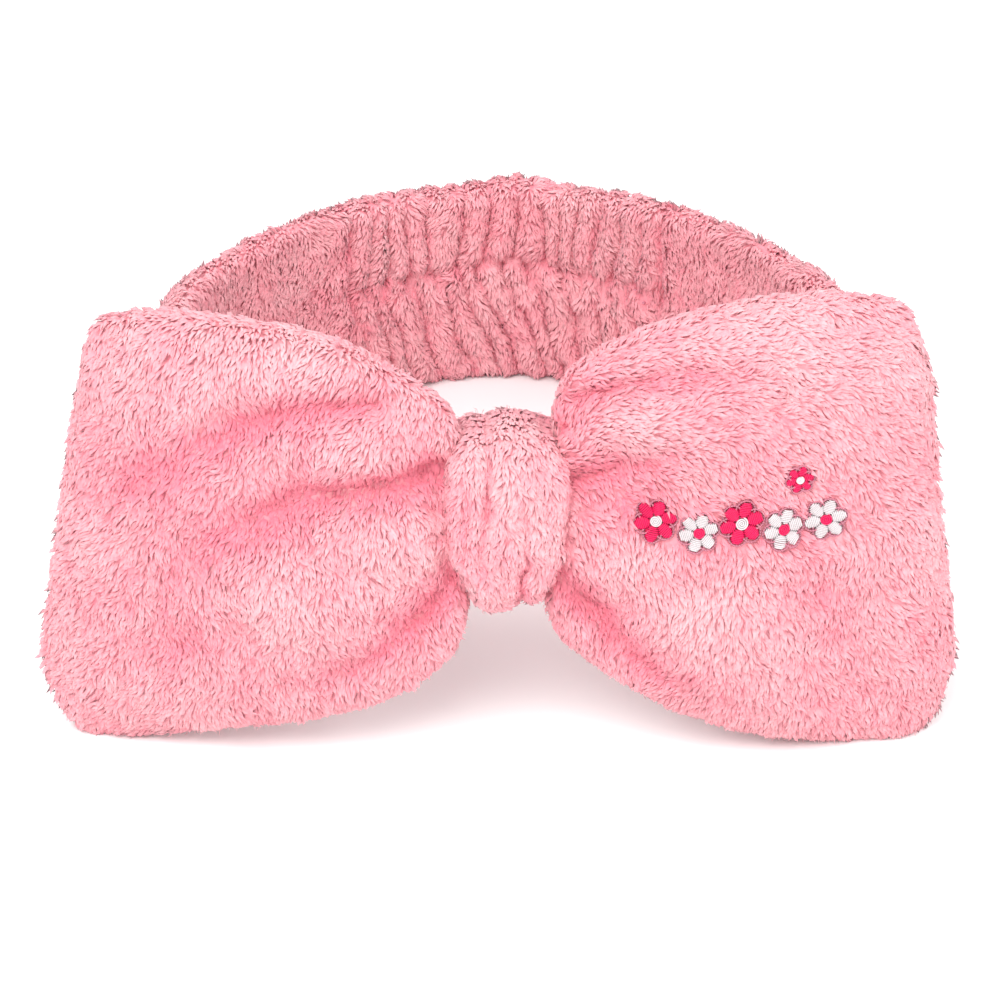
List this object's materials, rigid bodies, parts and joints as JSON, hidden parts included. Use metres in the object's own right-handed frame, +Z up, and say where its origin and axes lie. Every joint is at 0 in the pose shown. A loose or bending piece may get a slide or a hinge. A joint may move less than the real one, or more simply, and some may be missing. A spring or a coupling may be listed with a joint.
{
  "type": "spa headband with bow",
  "caption": "Soft fleece headband with a gathered elastic rear and a large padded bow on the front, worn to keep hair off the face.",
  "frame": {"origin": "bottom centre of the whole object's box, on the surface it stands on", "axes": "+Z up from the rest surface, the bow faces -Y, +X towards the wing with the embroidery"},
  "size_m": [0.214, 0.214, 0.1095],
  "materials": {
    "pink_fleece": "short plush pile",
    "sewing_thread": "matte polyester thread",
    "woven_elastic": "woven over rubber threads",
    "pink_satin_thread": "glossy satin stitch",
    "white_satin_thread": "glossy satin stitch",
    "outline_thread": "satin stitch",
    "stabiliser": "non-woven sheet"
  },
  "bodies": {
    "band_front": {"band_front_sleeve": "pink_fleece", "front_lengthwise_seam": "sewing_thread", "knot_wrap": "pink_fleece", "knot_closing_stitches": "sewing_thread", "bow_pinched_core": "pink_fleece", "bow_gathering_thread": "sewing_thread"},
    "band_rear": {"band_rear_sleeve": "pink_fleece", "elastic_strap": "woven_elastic", "elastic_stitches_left": "sewing_thread", "elastic_stitches_right": "sewing_thread", "join_seam_left": "sewing_thread", "join_seam_right": "sewing_thread", "rear_lengthwise_seam": "sewing_thread"},
    "left_wing": {"bow_front_panel_left": "pink_fleece", "bow_back_panel_left": "pink_fleece", "bow_edge_seam_left": "sewing_thread"},
    "right_wing": {"bow_front_panel_right": "pink_fleece", "bow_back_panel_right": "pink_fleece", "bow_edge_seam_right": "sewing_thread", "embroidery_pink_flowers": "pink_satin_thread", "embroidery_white_flowers": "white_satin_thread", "embroidery_outline": "outline_thread", "embroidery_backing": "stabiliser"}
  },
  "joints": [
    {"name": "rear_stretch", "type": "slide", "parent": "band_front", "child": "band_rear", "axis": [0, 0.9891, -0.147], "range_m": [0, 0.035], "stiffness_N_per_m": 120},
    {"name": "left_wing_flex", "type": "hinge", "parent": "band_front", "child": "left_wing", "pos_m": [-0.01, -0.09219, 0.05607], "axis": [0, 0.147, 0.9891], "range_deg": [-8, 20], "stiffness_Nm_per_rad": 0.08},
    {"name": "right_wing_flex", "type": "hinge", "parent": "band_front", "child": "right_wing", "pos_m": [0.014, -0.09219, 0.05607], "axis": [0, -0.147, -0.9891], "range_deg": [-8, 20], "stiffness_Nm_per_rad": 0.08}
  ]
}
